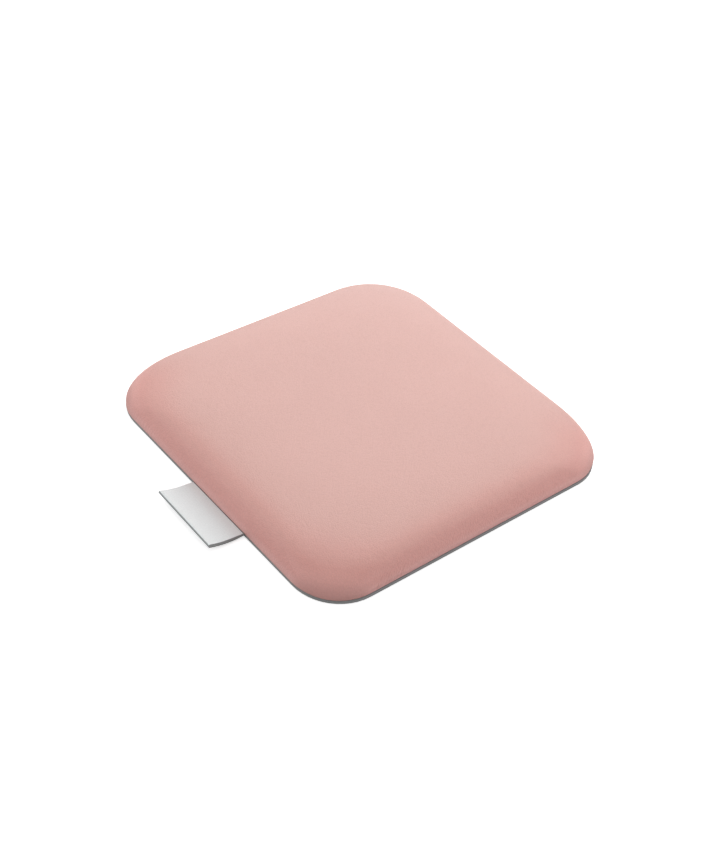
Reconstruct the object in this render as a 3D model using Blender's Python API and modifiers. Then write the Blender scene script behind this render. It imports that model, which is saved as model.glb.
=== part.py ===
"""Square padded hand rest for a manicure desk, at rest on its underside.

A thin board carries a domed foam pad. An artificial leather cover is pulled over the foam, turned
under the board and stapled to it. A grey sheet closes the underside, and a folded woven label is
caught between the cover and that sheet.

Metres, +Z up. The origin is the middle of the grey sheet's underside, and the label stands out
of the side that faces -Y.
"""

import math

import bmesh
import bpy
from mathutils import Matrix, Vector

# Outline and height of the whole pad
SIDE = 0.180
CORNER_RADIUS = 0.02475
CROWN_HEIGHT = 0.0054
CROWN_POWER = 7.88

# The rounded shoulder between the side and the top
SHOULDER_BOTTOM = 0.0036
SHOULDER_HEIGHT = 0.01363
SHOULDER_RUN = 0.01268
SHOULDER_WIDTH_POWER = 4.0
SHOULDER_RISE_POWER = 1.72

# How the plan corners grow rounder from the foot to the top
TOP_CORNER_SHARE = 0.7
CORNER_EASING_RUN = 0.01086

# Sheet and board stock
SHEET_THICKNESS = 0.0018
SHEET_EDGE_ROUND = 0.0003
BOARD_THICKNESS = 0.003
BOARD_EDGE_ROUND = 0.0005
COVER_THICKNESS = 0.001
FOLD_RADIUS = 0.0012
HEM_WIDTH = 0.016

# Gaps between pieces that touch on the real pad
SEAT_GAP = 0.0003
FOAM_GAP = 0.0005
STITCH_GAP = 0.0003

# Relief cuts that let the turned-under hem lie flat at a rounded corner
RELIEF_ANGLES = (-34.0, 34.0)
RELIEF_OPENING = 14.0
RELIEF_START = 0.005
RELIEF_TIP = 0.00006

# Flat-wire staples
STAPLE_CROWN = 0.0128
STAPLE_LEG = 0.004
STAPLE_WIRE_WIDTH = 0.00095
STAPLE_WIRE_THICKNESS = 0.00065
STAPLE_POINT = 0.0006
STAPLE_INSET = 0.010
STAPLES_PER_SIDE = 5

# The folded label and where it lies along the side
LABEL_WIDTH = 0.0414
LABEL_CENTRE_X = 0.0083
LABEL_REACH = 0.019
LABEL_TAIL = 0.008
LABEL_CURL = 0.0029
LABEL_CURL_POWER = 2.4
RIBBON_THICKNESS = 0.00075
RIBBON_THICKNESS_IN_SEAM = 0.0004
LABEL_PLY_GAP = 0.00015

# Smoothness of curves
CORNER_STEPS = 12
SHOULDER_STEPS = 11
HALVINGS = 40
FOLD_STEPS = 4
CROWN_RINGS = (0.9, 0.78, 0.62, 0.42, 0.2)
LABEL_STEPS = 10
LABEL_FOLD_STEPS = 6
CUTTER_OVERRUN = 0.002
WELD_DISTANCE = 0.000001

# Levels that follow from the stack of sheet, hem, board and foam
HALF = SIDE / 2
HEM_BOTTOM = SHEET_THICKNESS + SEAT_GAP
BOARD_BOTTOM = HEM_BOTTOM + COVER_THICKNESS + SEAT_GAP
BOARD_TOP = BOARD_BOTTOM + BOARD_THICKNESS
FOAM_BOTTOM = BOARD_TOP + SEAT_GAP
SHOULDER_RISE = SHOULDER_HEIGHT - SHOULDER_BOTTOM
CROWN_TOP = HEM_BOTTOM - SEAT_GAP
CROWN_BOTTOM = CROWN_TOP - STAPLE_WIRE_THICKNESS
STAPLE_TIP = CROWN_BOTTOM + STAPLE_LEG
LABEL_TAIL_HALF = RIBBON_THICKNESS_IN_SEAM + LABEL_PLY_GAP / 2
LABEL_FOLD_HALF = RIBBON_THICKNESS + LABEL_PLY_GAP / 2
LABEL_MIDDLE = HEM_BOTTOM - SEAT_GAP - LABEL_TAIL_HALF


def clear_scene():
    for obj in list(bpy.data.objects):
        bpy.data.objects.remove(obj, do_unlink=True)


def make_collection(name):
    collection = bpy.data.collections.new(name)
    bpy.context.scene.collection.children.link(collection)
    return collection


def make_material(name, colour, roughness, metallic=0.0):
    material = bpy.data.materials.new(name)
    material.use_nodes = True
    shader = material.node_tree.nodes["Principled BSDF"]
    shader.inputs["Base Color"].default_value = (*colour, 1.0)
    shader.inputs["Roughness"].default_value = roughness
    shader.inputs["Metallic"].default_value = metallic
    material.diffuse_color = (*colour, 1.0)
    return material


def add_object(name, data, collection, material=None):
    obj = bpy.data.objects.new(name, data)
    collection.objects.link(obj)
    if material is not None and not data.materials:
        data.materials.append(material)
    return obj


def mesh_from(bm, name):
    mesh = bpy.data.meshes.new(name)
    bm.to_mesh(mesh)
    bm.free()
    return mesh


def rounded_square(half, radius):
    """Plan points of a rounded square, anticlockwise from above, one arc at each corner."""
    radius = min(radius, half)
    arc_centre = half - radius
    points = []
    for quarter, (x_sign, y_sign) in enumerate(((1, 1), (-1, 1), (-1, -1), (1, -1))):
        for step in range(CORNER_STEPS + 1):
            angle = math.radians(90 * (quarter + step / CORNER_STEPS))
            x = x_sign * arc_centre + radius * math.cos(angle)
            y = y_sign * arc_centre + radius * math.sin(angle)
            points.append((x, y))
    return points


def ring(half, radius, height):
    return [Vector((x, y, height)) for x, y in rounded_square(half, radius)]


def corner_radius_at(inset):
    """The plan corner grows rounder up the shoulder, as the cover is drawn down at the corners.

    Its share of the half side eases from the foot's to the top's as the surface draws inwards.
    """
    foot_share = CORNER_RADIUS / HALF
    left = math.exp(-inset / CORNER_EASING_RUN)
    return (HALF - inset) * (TOP_CORNER_SHARE + (foot_share - TOP_CORNER_SHARE) * left)


def crown_at(inset):
    """Height that the crown adds, from nothing at the side to all of it in the middle."""
    return CROWN_HEIGHT * (1 - (1 - inset / HALF) ** CROWN_POWER)


def crown_slope_at(inset):
    return CROWN_HEIGHT * CROWN_POWER / HALF * (1 - inset / HALF) ** (CROWN_POWER - 1)


def shoulder_point(angle):
    """Inset, height and outward normal of the shoulder at an angle from the side, in radians.

    The shoulder is a quarter of a superellipse, SHOULDER_RUN wide and SHOULDER_RISE high, with
    a power of its own each way, and the crown lies on top of it.
    """
    across = math.cos(angle)
    up = (1 - across**SHOULDER_WIDTH_POWER) ** (1 / SHOULDER_RISE_POWER)
    inset = SHOULDER_RUN * (1 - across)
    height = SHOULDER_BOTTOM + SHOULDER_RISE * up + crown_at(inset)
    outwards = SHOULDER_WIDTH_POWER * across ** (SHOULDER_WIDTH_POWER - 1) / SHOULDER_RUN
    upwards = SHOULDER_RISE_POWER * up ** (SHOULDER_RISE_POWER - 1) / SHOULDER_RISE
    normal = Vector((outwards + crown_slope_at(inset) * upwards, upwards)).normalized()
    return inset, height, normal


def shoulder_inset_at(height):
    """Inset of the cover's outside where the shoulder reaches a height, found by halving."""
    low, high = 0.0, math.pi / 2
    for _ in range(HALVINGS):
        middle = (low + high) / 2
        if shoulder_point(middle)[1] < height:
            low = middle
        else:
            high = middle
    return shoulder_point(low)[0]


def shoulder_rings(depth, lowest):
    """Rings up the shoulder of the surface that lies depth inside the cover's outside."""
    rings = []
    for step in range(SHOULDER_STEPS + 1):
        angle = math.pi / 2 * step / SHOULDER_STEPS
        inset, height, normal = shoulder_point(angle)
        height -= depth * normal.y
        if height < lowest:
            continue
        half = HALF - inset - depth * normal.x
        rings.append(ring(half, corner_radius_at(inset) - depth * normal.x, height))
    return rings


def crown_rings(depth):
    """Rings over the top, from the shoulder to the smallest one round the middle."""
    rings = []
    for share in CROWN_RINGS:
        half = (HALF - SHOULDER_RUN) * share
        inset = HALF - half
        height = SHOULDER_HEIGHT + crown_at(inset) - depth
        rings.append(ring(half, corner_radius_at(inset), height))
    return rings


def loft(rings, top, floor=False):
    """Skins rings of equal count from below upwards, and closes the last one on a top point."""
    bm = bmesh.new()
    loops = [[bm.verts.new(point) for point in points] for points in rings]
    count = len(loops[0])
    for lower, upper in zip(loops, loops[1:]):
        for i in range(count):
            j = (i + 1) % count
            bm.faces.new((lower[i], lower[j], upper[j], upper[i]))
    peak = bm.verts.new(top)
    for i in range(count):
        bm.faces.new((loops[-1][i], loops[-1][(i + 1) % count], peak))
    if floor:
        bm.faces.new(list(reversed(loops[0])))
    return bm


def plate_mesh(name, half, radius, thickness):
    """A rounded square cut from flat stock, its middle on the origin: a filled, extruded outline."""
    curve = bpy.data.curves.new(name, "CURVE")
    curve.dimensions = "2D"
    curve.fill_mode = "BOTH"
    curve.extrude = thickness / 2
    outline_spline(curve, rounded_square(half, radius))
    return welded_mesh(curve, name)


def outline_spline(curve, points):
    spline = curve.splines.new("POLY")
    spline.points.add(len(points) - 1)
    for place, (x, y) in zip(spline.points, points):
        place.co = (x, y, 0.0, 1.0)
    spline.use_cyclic_u = True


def welded_mesh(curve, name):
    """The solid of a filled curve as a mesh, its caps welded to its sides."""
    guide = bpy.data.objects.new(name + "_outline", curve)
    bpy.context.scene.collection.objects.link(guide)
    bpy.context.view_layer.update()
    graph = bpy.context.evaluated_depsgraph_get()
    mesh = bpy.data.meshes.new_from_object(guide.evaluated_get(graph))
    bpy.data.objects.remove(guide, do_unlink=True)
    bm = bmesh.new()
    bm.from_mesh(mesh)
    bmesh.ops.remove_doubles(bm, verts=bm.verts, dist=WELD_DISTANCE)
    bmesh.ops.recalc_face_normals(bm, faces=bm.faces)
    bm.to_mesh(mesh)
    bm.free()
    mesh.name = name
    return mesh


def add_box(bm, low, high, placed=None):
    """A box between two corners, turned and moved by placed."""
    low, high = Vector(low), Vector(high)
    size = high - low
    shape = Matrix.Translation((low + high) / 2) @ Matrix.Diagonal((*size, 1.0))
    bmesh.ops.create_cube(bm, size=1.0, matrix=(placed or Matrix()) @ shape)


def add_wedge(bm, outer, inner, opening, low, high, placed):
    """A wedge whose edge stands at outer and which opens to the inside, for a relief cut."""
    spread = (outer - inner) * math.tan(math.radians(opening / 2))
    made = bmesh.ops.create_cube(bm, size=1.0)["verts"]
    for vert in made:
        far = vert.co.x > 0
        side = spread if vert.co.y > 0 else -spread
        level = high if vert.co.z > 0 else low
        if far:
            side = math.copysign(RELIEF_TIP, side)
        vert.co = placed @ Vector((outer if far else inner, side, level))


def make_cutter(bm, name, collection):
    cutter = add_object(name, mesh_from(bm, name), collection)
    cutter.hide_render = True
    cutter.display_type = "WIRE"
    return cutter


def add_boolean(obj, cutter):
    cut = obj.modifiers.new("cut_" + cutter.name, "BOOLEAN")
    cut.operation = "DIFFERENCE"
    cut.solver = "EXACT"
    cut.object = cutter


def add_bevel(obj, width):
    bevel = obj.modifiers.new("eased_edge", "BEVEL")
    bevel.width = width
    bevel.segments = 2
    bevel.limit_method = "ANGLE"
    bevel.angle_limit = math.radians(60)
    bevel.use_clamp_overlap = True


def staple_places():
    """Name and placement of each staple: its crown along the edge, its legs up, at level 0."""
    places = {}
    run = SIDE - 2 * CORNER_RADIUS
    pitch = run / STAPLES_PER_SIDE
    corner_reach = (HALF - CORNER_RADIUS) * math.sqrt(2) + CORNER_RADIUS - STAPLE_INSET
    for turn, side in enumerate(("front", "right", "back", "left")):
        around = Matrix.Rotation(math.radians(90 * turn), 4, "Z")
        for number in range(STAPLES_PER_SIDE):
            along = (number + 0.5) * pitch - run / 2
            spot = Matrix.Translation((along, STAPLE_INSET - HALF, 0))
            places[f"staple_{side}_{number + 1}"] = around @ spot
        corner = Matrix.Rotation(math.radians(45), 4, "Z") @ Matrix.Translation((0, -corner_reach, 0))
        places[f"staple_corner_{turn + 1}"] = around @ corner
    return places


def staple_outline():
    """Front view of a staple from its crown's underside up: square shoulders, chisel points."""
    outer = STAPLE_CROWN / 2
    inner = outer - STAPLE_WIRE_THICKNESS
    return [
        (-outer, 0),
        (outer, 0),
        (outer, STAPLE_LEG - STAPLE_POINT),
        (inner, STAPLE_LEG),
        (inner, STAPLE_WIRE_THICKNESS),
        (-inner, STAPLE_WIRE_THICKNESS),
        (-inner, STAPLE_LEG),
        (-outer, STAPLE_LEG - STAPLE_POINT),
    ]


def leg_boxes(bm, low, high):
    """Clearance for both legs of every staple, between two levels."""
    across = STAPLE_WIRE_WIDTH / 2 + STITCH_GAP
    outer = STAPLE_CROWN / 2 + STITCH_GAP
    inner = STAPLE_CROWN / 2 - STAPLE_WIRE_THICKNESS - STITCH_GAP
    for placed in staple_places().values():
        add_box(bm, (inner, -across, low), (outer, across, high), placed)
        add_box(bm, (-outer, -across, low), (-inner, across, high), placed)


def ribbon_thickness(share):
    """The ribbon is pressed thin in the seam and has its full thickness a third of the way out."""
    eased = min(3 * share, 1.0)
    eased = eased * eased * (3 - 2 * eased)
    return RIBBON_THICKNESS_IN_SEAM + (RIBBON_THICKNESS - RIBBON_THICKNESS_IN_SEAM) * eased


def label_section():
    """Closed outline of the folded ribbon, x outwards from the pad's side and y up.

    A middle line runs flat through the seam and curls up to the fold. The ribbon's inside lies
    half the gap between its plies to each side of it, and its outside one ribbon thickness more.
    """
    end = LABEL_REACH - LABEL_FOLD_HALF
    stations = [-LABEL_TAIL] + [end * step / LABEL_STEPS for step in range(LABEL_STEPS + 1)]
    middle = []
    for x in stations:
        share = max(x, 0.0) / end
        height = LABEL_MIDDLE + LABEL_CURL * share**LABEL_CURL_POWER
        slope = LABEL_CURL * LABEL_CURL_POWER * share ** (LABEL_CURL_POWER - 1) / end
        middle.append((Vector((x, height)), math.atan(slope), ribbon_thickness(share)))

    def path(thicknesses):
        lower, upper = [], []
        for centre, lean, ribbon in middle:
            offset = LABEL_PLY_GAP / 2 + ribbon * thicknesses
            normal = Vector((-math.sin(lean), math.cos(lean))) * offset
            lower.append(centre - normal)
            upper.append(centre + normal)
        bend = []
        centre, lean, ribbon = middle[-1]
        offset = LABEL_PLY_GAP / 2 + ribbon * thicknesses
        for step in range(1, LABEL_FOLD_STEPS):
            angle = lean - math.pi / 2 + math.pi * step / LABEL_FOLD_STEPS
            bend.append(centre + Vector((math.cos(angle), math.sin(angle))) * offset)
        return lower + bend + list(reversed(upper))

    outside = path(1.0)
    inside = path(0.0)
    return [tuple(point) for point in outside + list(reversed(inside))]


def make_base_sheet(parts, cutters):
    mesh = plate_mesh("base_sheet", HALF, CORNER_RADIUS, SHEET_THICKNESS)
    sheet = add_object("base_sheet", mesh, parts, make_material("grey_sheet", (0.19, 0.19, 0.19), 0.8))
    sheet.location.z = SHEET_THICKNESS / 2
    add_bevel(sheet, SHEET_EDGE_ROUND)
    pockets = bmesh.new()
    across = STAPLE_WIRE_WIDTH / 2 + STITCH_GAP
    along = STAPLE_CROWN / 2 + STITCH_GAP
    above = SHEET_THICKNESS + CUTTER_OVERRUN
    for placed in staple_places().values():
        low = (-along, -across, CROWN_BOTTOM - SEAT_GAP)
        add_box(pockets, low, (along, across, above), placed)
    label_floor = LABEL_MIDDLE - LABEL_TAIL_HALF - SEAT_GAP
    reach = LABEL_WIDTH / 2 + SEAT_GAP
    low = (LABEL_CENTRE_X - reach, -HALF - CUTTER_OVERRUN, label_floor)
    high = (LABEL_CENTRE_X + reach, LABEL_TAIL + SEAT_GAP - HALF, above)
    add_box(pockets, low, high)
    add_boolean(sheet, make_cutter(pockets, "sheet_pockets", cutters))


def make_cover(parts, cutters):
    """The cover's outside as one open skin, from the hem's inner edge to the top, then its wall."""
    rings = [ring(HALF - HEM_WIDTH, max(CORNER_RADIUS - HEM_WIDTH, 0.0), HEM_BOTTOM)]
    for step in range(FOLD_STEPS + 1):
        angle = math.pi / 2 * step / FOLD_STEPS
        inset = FOLD_RADIUS * (1 - math.sin(angle))
        height = HEM_BOTTOM + FOLD_RADIUS * (1 - math.cos(angle))
        rings.append(ring(HALF - inset, CORNER_RADIUS - inset, height))
    rings += shoulder_rings(0.0, 0.0) + crown_rings(0.0)
    bm = loft(rings, (0, 0, SHOULDER_HEIGHT + CROWN_HEIGHT))
    material = make_material("pink_leather", (0.72, 0.42, 0.38), 0.5)
    cover = add_object("cover", mesh_from(bm, "cover"), parts, material)
    wall = cover.modifiers.new("wall", "SOLIDIFY")
    wall.thickness = COVER_THICKNESS
    wall.offset = -1.0
    wall.use_even_offset = True
    wall.use_rim = True

    openings = bmesh.new()
    low = HEM_BOTTOM - CUTTER_OVERRUN
    high = BOARD_BOTTOM
    leg_boxes(openings, low, high)
    for turn in range(4):
        around = Matrix.Rotation(math.radians(90 * turn), 4, "Z")
        pivot = around @ Matrix.Translation((HALF - CORNER_RADIUS, HALF - CORNER_RADIUS, 0))
        for angle in RELIEF_ANGLES:
            placed = pivot @ Matrix.Rotation(math.radians(45 + angle), 4, "Z")
            outer = CORNER_RADIUS - RELIEF_START
            inner = CORNER_RADIUS - HEM_WIDTH - CUTTER_OVERRUN
            add_wedge(openings, outer, inner, RELIEF_OPENING, low, high, placed)
    add_boolean(cover, make_cutter(openings, "hem_openings", cutters))
    cover.data.shade_smooth()


def make_board(parts, cutters):
    inset = shoulder_inset_at(BOARD_TOP) + COVER_THICKNESS + FOAM_GAP
    radius = corner_radius_at(shoulder_inset_at(BOARD_TOP))
    mesh = plate_mesh("board", HALF - inset, radius, BOARD_THICKNESS)
    board = add_object("board", mesh, parts, make_material("hardboard", (0.30, 0.19, 0.10), 0.7))
    board.location.z = BOARD_BOTTOM + BOARD_THICKNESS / 2
    add_bevel(board, BOARD_EDGE_ROUND)
    holes = bmesh.new()
    leg_boxes(holes, BOARD_BOTTOM - CUTTER_OVERRUN, STAPLE_TIP + SEAT_GAP)
    add_boolean(board, make_cutter(holes, "leg_holes", cutters))


def make_foam(parts):
    """The foam fills the cover from the board up, with an upright cut flank at its foot."""
    depth = COVER_THICKNESS + FOAM_GAP
    rings = shoulder_rings(depth, FOAM_BOTTOM + SEAT_GAP)
    foot = [Vector((point.x, point.y, FOAM_BOTTOM)) for point in rings[0]]
    top = (0, 0, SHOULDER_HEIGHT + CROWN_HEIGHT - depth)
    bm = loft([foot] + rings + crown_rings(depth), top, floor=True)
    foam = add_object("foam_pad", mesh_from(bm, "foam_pad"), parts)
    foam.data.materials.append(make_material("foam", (0.80, 0.76, 0.62), 0.95))
    foam.data.shade_smooth()


def make_label(parts):
    """The ribbon's section is drawn flat, extruded to the label's width and stood up at the side."""
    curve = bpy.data.curves.new("label", "CURVE")
    curve.dimensions = "2D"
    curve.fill_mode = "BOTH"
    curve.extrude = LABEL_WIDTH / 2
    outline_spline(curve, label_section())
    mesh = welded_mesh(curve, "label")
    label = add_object("label", mesh, parts, make_material("woven_ribbon", (0.70, 0.70, 0.70), 0.6))
    stand = Matrix(((0, 0, -1, 0), (-1, 0, 0, 0), (0, 1, 0, 0), (0, 0, 0, 1)))
    label.matrix_world = Matrix.Translation((LABEL_CENTRE_X, -HALF, 0)) @ stand


def make_staples(parts):
    """One flat-wire shape, shared by every staple."""
    curve = bpy.data.curves.new("staple", "CURVE")
    curve.dimensions = "2D"
    curve.fill_mode = "BOTH"
    curve.extrude = STAPLE_WIRE_WIDTH / 2
    outline_spline(curve, staple_outline())
    mesh = welded_mesh(curve, "staple")
    mesh.materials.append(make_material("staple_steel", (0.55, 0.55, 0.56), 0.35, 1.0))
    upright = Matrix.Rotation(math.radians(90), 4, "X")
    for name, placed in staple_places().items():
        staple = add_object(name, mesh, parts)
        staple.matrix_world = placed @ Matrix.Translation((0, 0, CROWN_BOTTOM)) @ upright


def build():
    clear_scene()
    parts = make_collection("hand_rest")
    cutters = make_collection("cutters")
    make_base_sheet(parts, cutters)
    make_cover(parts, cutters)
    make_board(parts, cutters)
    make_foam(parts)
    make_label(parts)
    make_staples(parts)


build()
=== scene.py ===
"""Looks of the square manicure hand rest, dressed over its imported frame.

The cover, the foam and the label are new surfaces, worked out with numpy from the frame's own
sizes. The board, the grey sheet and the staples keep their solids and get finished materials.
"""

import math

import bpy
import numpy as np
from mathutils import Matrix, Vector


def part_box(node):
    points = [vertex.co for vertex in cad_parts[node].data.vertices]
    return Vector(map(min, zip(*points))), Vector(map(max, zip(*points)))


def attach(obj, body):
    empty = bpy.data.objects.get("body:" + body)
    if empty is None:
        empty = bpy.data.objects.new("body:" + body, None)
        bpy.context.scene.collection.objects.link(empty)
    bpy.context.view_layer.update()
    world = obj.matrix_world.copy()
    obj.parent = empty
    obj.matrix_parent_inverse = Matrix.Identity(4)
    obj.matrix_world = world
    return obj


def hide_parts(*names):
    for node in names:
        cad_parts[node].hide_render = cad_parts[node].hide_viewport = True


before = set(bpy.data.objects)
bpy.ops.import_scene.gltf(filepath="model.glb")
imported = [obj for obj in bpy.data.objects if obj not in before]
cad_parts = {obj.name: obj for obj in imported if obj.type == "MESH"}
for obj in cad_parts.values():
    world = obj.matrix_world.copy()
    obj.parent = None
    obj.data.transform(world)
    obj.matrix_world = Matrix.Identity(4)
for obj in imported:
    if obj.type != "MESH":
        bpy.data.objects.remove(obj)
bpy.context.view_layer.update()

# Sizes read from the frame
COVER_LOW, COVER_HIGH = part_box("cover")
LABEL_LOW, LABEL_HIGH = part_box("label")
SHEET_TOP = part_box("base_sheet")[1].z
FOAM_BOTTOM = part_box("foam_pad")[0].z
HALF = COVER_HIGH.x

# Form of the cover: the corners, the rounded shoulder and the low crown
CORNER_RADIUS = 0.02475
TOP_CORNER_SHARE = 0.7
CORNER_EASING_RUN = 0.01086
SHOULDER_BOTTOM = 0.0036
SHOULDER_HEIGHT = 0.01363
SHOULDER_RISE = SHOULDER_HEIGHT - SHOULDER_BOTTOM
SHOULDER_RUN = 0.01268
SHOULDER_WIDTH_POWER = 4.0
SHOULDER_RISE_POWER = 1.72
CROWN_HEIGHT = 0.0054
CROWN_POWER = 7.88

# The base outline is walked anticlockwise from the back end of the right side. Each quarter is
# a corner and then a side: the back, the left, the front with the label, and the right
ARC = CORNER_RADIUS * math.pi / 2
SIDE = 2 * (HALF - CORNER_RADIUS)
QUARTER = ARC + SIDE
OUTLINE = 4 * QUARTER
FRONT_QUARTER = 2
RIGHT_QUARTER = 3

# The fold at the cover's foot, the rounded foot itself and the hem under the board
COVER_THICKNESS = 0.001
FOLD_RADIUS = 0.0012
FOLD_TOP = COVER_LOW.z + FOLD_RADIUS
FOOT_WIDTH = 0.00025
FOOT_ROUND = 0.00025
HEM_WIDTH = 0.016
HEM_REST_GAP = 0.00015
HEM_BOTTOM = SHEET_TOP + HEM_REST_GAP
HEM_TOP = COVER_LOW.z + COVER_THICKNESS
HAIR = 0.00001

# V-shaped relief cuts in the hem, as degrees from each corner's diagonal
RELIEF_ANGLES = (-34.0, 34.0)
RELIEF_OPENING = 14.0
RELIEF_START = 0.005

# The cover's foot hangs over the grey sheet along the label's side, and most at the corner left
# of it, whose places are shares of its arc. It stops a little short of the label at both sides.
# The foot moves out past the sheet to hang there, and the wall eases out to it over LIP_RISE
LIP_DROP = 0.00005
LIP_CORNER_SHARES = (0.28, 0.5, 0.67, 0.91)
LIP_CORNER_DROPS = (0.0, 0.0015, 0.0012, LIP_DROP)
LIP_START = 0.0014
LIP_STOP = 0.0005
LIP_END_SHARE = 0.17
LIP_OUT = 0.00015
LIP_WIDTH = 0.0001
LIP_RISE = 0.004
LIP_STEP = 0.0004

# On the right side the foot is tucked in, so that the grey sheet shows as a wider band. The
# tuck ends within the corner behind that side and begins within the one before it, at shares
# of their arcs
TUCK = 0.00035
TUCK_RISE = 0.0014
TUCK_END_SHARES = (0.8, 1.0)
TUCK_START_SHARES = (0.4, 1.0)

# Places worked out on the cover: points of the profile, columns round it and rows up it
FOOT_POINTS = 4
SHOULDER_POINTS = 1200
TOP_POINTS = 200
ARC_COLUMNS = 26
FLANK_COLUMNS = 50
MIDDLE_COLUMNS = 16
SHOULDER_END = 0.030
SHOULDER_ROWS = 45
CROWN_ROWS = 26
CROWN_START = 0.02
CROWN_SPACING_POWER = 0.9
FOLD_ROWS = 6
HEM_ROWS = 6
HEM_TOP_ROWS = 4
INNER_SHOULDER_ROWS = 14
INNER_CROWN_STRIDE = 5
TRAVEL_DIGITS = 7
SHARP_EDGE = math.radians(50)

# Swelling of the cover over its foam, from the cloth simulation
CLOTH_COLUMNS = 72
CLOTH_ROW_STEP = 0.0042
CLOTH_PRESSURE = 4.0
CLOTH_FRAMES = 20
CLOTH_SETTINGS = {
    "quality": 8,
    "mass": 0.25,
    "tension_stiffness": 25,
    "compression_stiffness": 25,
    "shear_stiffness": 12,
    "bending_stiffness": 2,
}
SWELL_LIMIT = 0.0003
STAPLED_REACH = 0.004

# Small gathers pulled into the wall beside each corner. Each takes a share of its own, between
# two limits, of the depth, the lean and the reach
GATHER_COUNT = 9
GATHER_FIRST = 0.003
GATHER_PITCH = 0.0017
GATHER_SCATTER = 0.3
GATHER_WIDTH = 0.0005
GATHER_DEPTH = 0.0006
GATHER_DEPTH_SHARES = (0.35, 1.0)
GATHER_LEAN = 0.22
GATHER_LEAN_SHARES = (0.6, 1.4)
GATHER_REACH = 0.0125
GATHER_REACH_SHARES = (0.6, 1.0)
GATHER_FADE_POWER = 1.5
GATHER_SPARE = 1.5
GATHER_ZONE = GATHER_FIRST + GATHER_PITCH * (GATHER_COUNT + GATHER_SPARE)
GATHER_SEED = 7
# Strength at the first and the last end of each side: back, left, front, right
GATHER_STRENGTHS = (0.3, 0.3, 0.3, 0.25, 0.25, 0.2, 1.0, 0.35)

# Foam: its gap to the cover, and the rows and columns of its surface
FOAM_GAP = 0.0005
FOAM_COLUMNS = 240
FOAM_CROWN_ROWS = 14
FOAM_SHOULDER_ROWS = 39
FOAM_START_SHARE = 0.98
FOAM_UNDER_SHARE = 0.5

# Label. It stands out a hair further than its solid, and a little further at its right end
# than at its left. It widens to the left towards the fold
LABEL_CENTRE_X = (LABEL_LOW.x + LABEL_HIGH.x) / 2
LABEL_WIDTH = LABEL_HIGH.x - LABEL_LOW.x
LABEL_HALF = LABEL_WIDTH / 2
LABEL_STRETCH = 0.00035
LABEL_REACH = -HALF - LABEL_LOW.y + LABEL_STRETCH
LABEL_SKEW = 0.013
LABEL_FLARE = 0.0007
LABEL_TAIL = LABEL_HIGH.y + HALF
LABEL_CURL = 0.0029
LABEL_CURL_POWER = 2.4
RIBBON_THICKNESS = 0.00075
RIBBON_THICKNESS_IN_SEAM = 0.0004
RIBBON_THICKENING_SHARE = 1 / 3
LABEL_PLY_GAP = 0.00015
LABEL_MIDDLE = SHEET_TOP - RIBBON_THICKNESS_IN_SEAM - LABEL_PLY_GAP / 2
LABEL_TAIL_ROWS = 6
LABEL_ROWS = 34
LABEL_BEND_STEPS = 10
LABEL_COLUMNS = 71
LABEL_SHARP_EDGE = math.radians(60)

# The label's woven edges: they are a little thinner, and the plies come together there
SELVEDGE = 0.0002
SELVEDGE_COLUMNS = 6
SELVEDGE_THICKNESS_SHARE = 0.9
LABEL_SEALED_EDGE = 0.0008
SEALED_GAP_SHARE = 0.1

# How white the label is: its face, the dark line of painted shade in the seam and beside the right
# edge, the row next to the seam, and all the rest, whose grey at the fold, the edges and behind is
# painted shade. The edges' widths are shares of the selvedge, and the material turns from grey to
# white within WHITE_RANGE
FACE_WHITE = 1.0
SEAM_PAINTED_SHADE = 0.0
NEAR_SEAM_PAINTED_SHADE = 0.6
EDGE_WHITE = 0.43
GREY_FOLD_ROWS = 3
GREY_EDGE_SHARE = 0.6
PAINTED_SHADE_STRIP_SHARE = 1.1
WHITE_RANGE = (0.35, 0.65)

# Camera, set from the pad's outline in the photograph
IMAGE_WIDTH = 720
IMAGE_HEIGHT = 864
PAD_CENTRE_PIXEL = (359.05, 430.3)
CAMERA_AZIMUTH = -46.95
CAMERA_ELEVATION = 40.9
CAMERA_ROLL = 6.72
CAMERA_DISTANCE = 0.7015
FOCAL_PIXELS = 1407.0
SENSOR = 36.0
CLIP_START = 0.01

# The leather's pink with painted light and shade worked into it, by height on the walls and in the
# corners, then on the two far sides and on the top. The walls' foot is lighter with painted light,
# and the walls turn darker with painted shade below the shoulder.
# The corners are darker at the foot with painted shade and lighter towards the shoulder with
# painted light. The far sides and the top are paler with painted sheen. Each tone is mottled up to
# a slightly lighter one
WALL_PAINTED_SHADING_TONES = (
    (0.0035, (0.811, 0.420, 0.385)),
    (0.0085, (0.753, 0.342, 0.303)),
    (0.0125, (0.700, 0.312, 0.270)),
    (0.0158, (0.700, 0.338, 0.292)),
)
CORNER_PAINTED_SHADING_TONES = (
    (0.0050, (0.605, 0.278, 0.248)),
    (0.0128, (0.774, 0.370, 0.325)),
    (0.0158, (0.712, 0.360, 0.312)),
)
FAR_PAINTED_SHEEN_TONE = (0.688, 0.385, 0.338)
TOP_PAINTED_SHEEN_TONE = (0.688, 0.373, 0.323)
GROOVE_TONE = (0.42, 0.20, 0.18)
MOTTLE = 1.025
MOTTLE_SCALE = 28.0
# Heights between which the walls' colour, with its painted shade, passes into the top's painted
# sheen
SHOULDER_LEVEL = 0.0158
TOP_LEVEL = 0.0184
# Values of x times y, in square metres, between which a wall becomes a corner and takes the
# corners' painted shade
CORNER_START = 0.0056
CORNER_FULL = 0.0067
# Values of x less y between which the far sides' colour, paled with painted sheen, passes into the
# near ones'
FAR_SIDE = -0.035
NEAR_SIDE = 0.005

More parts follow.
